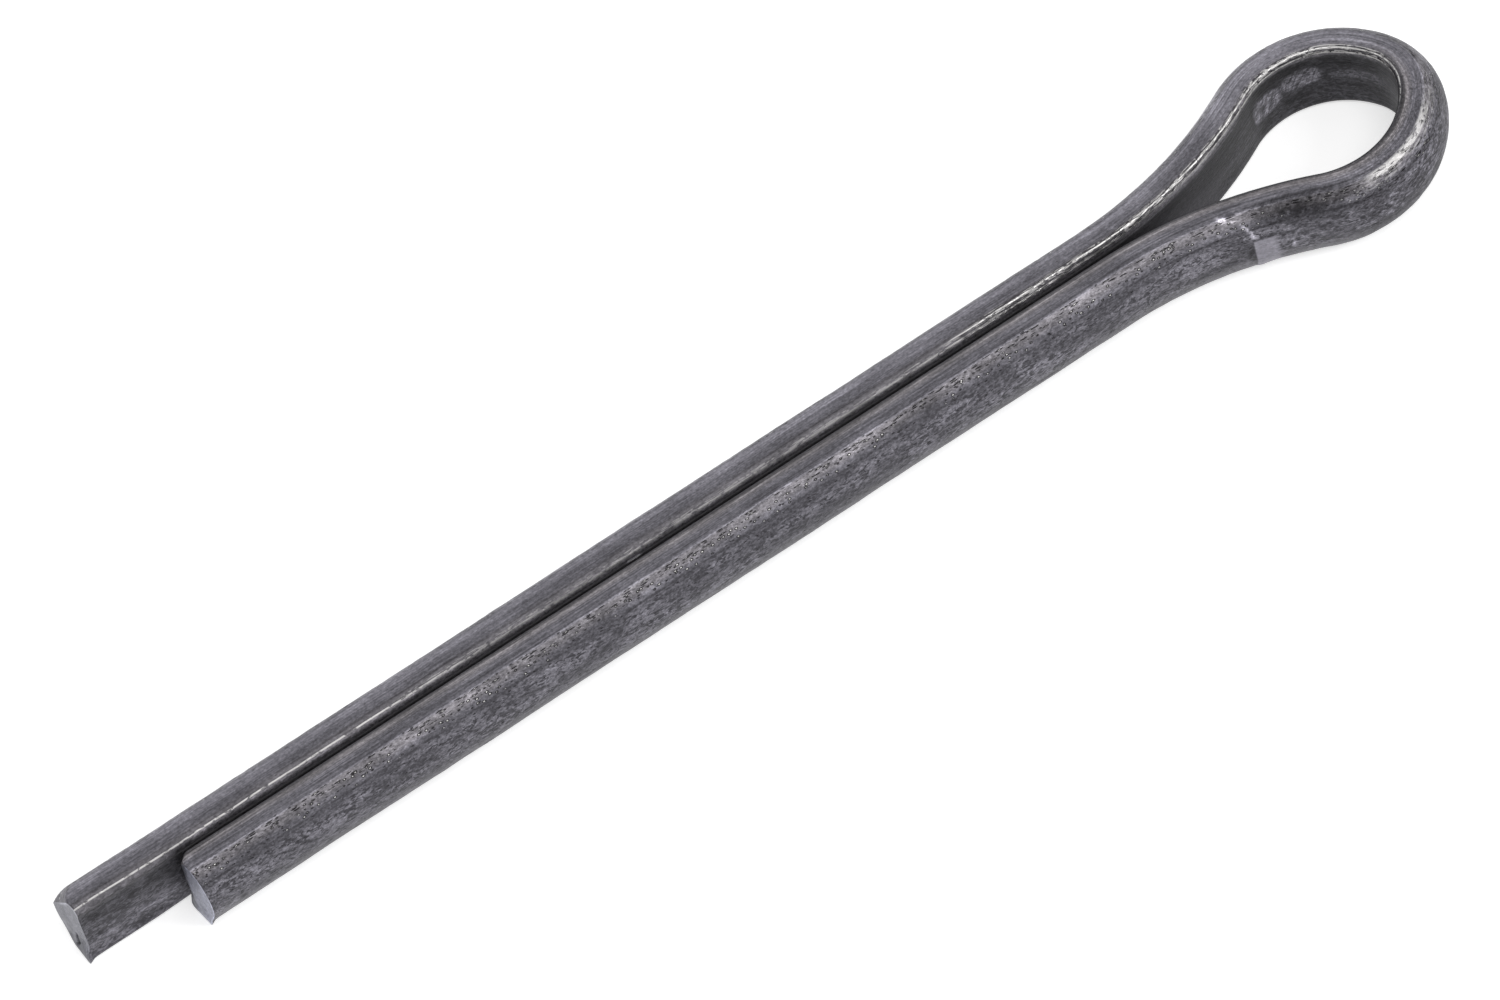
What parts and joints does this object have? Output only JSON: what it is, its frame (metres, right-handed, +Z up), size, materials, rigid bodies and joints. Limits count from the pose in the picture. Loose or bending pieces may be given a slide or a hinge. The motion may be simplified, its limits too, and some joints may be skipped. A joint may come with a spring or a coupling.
{
  "type": "split pin",
  "caption": "Split pin folded from one length of D-section steel wire, with two straight legs of unequal length and an open teardrop eye.",
  "frame": {"origin": "under the middle of the pin, at the centre of its box, on the surface that it lies on", "axes": "+X along the legs towards the tip of the eye, +Y to the side of the long leg, +Z up out of the surface that it lies on"},
  "size_m": [0.0888, 0.013, 0.0049],
  "materials": {
    "steel_wire": "dull drawn steel with a rough, finely pitted outer side and burnished inner edges"
  },
  "bodies": {
    "root": {"split_pin": "steel_wire"}
  },
  "joints": []
}
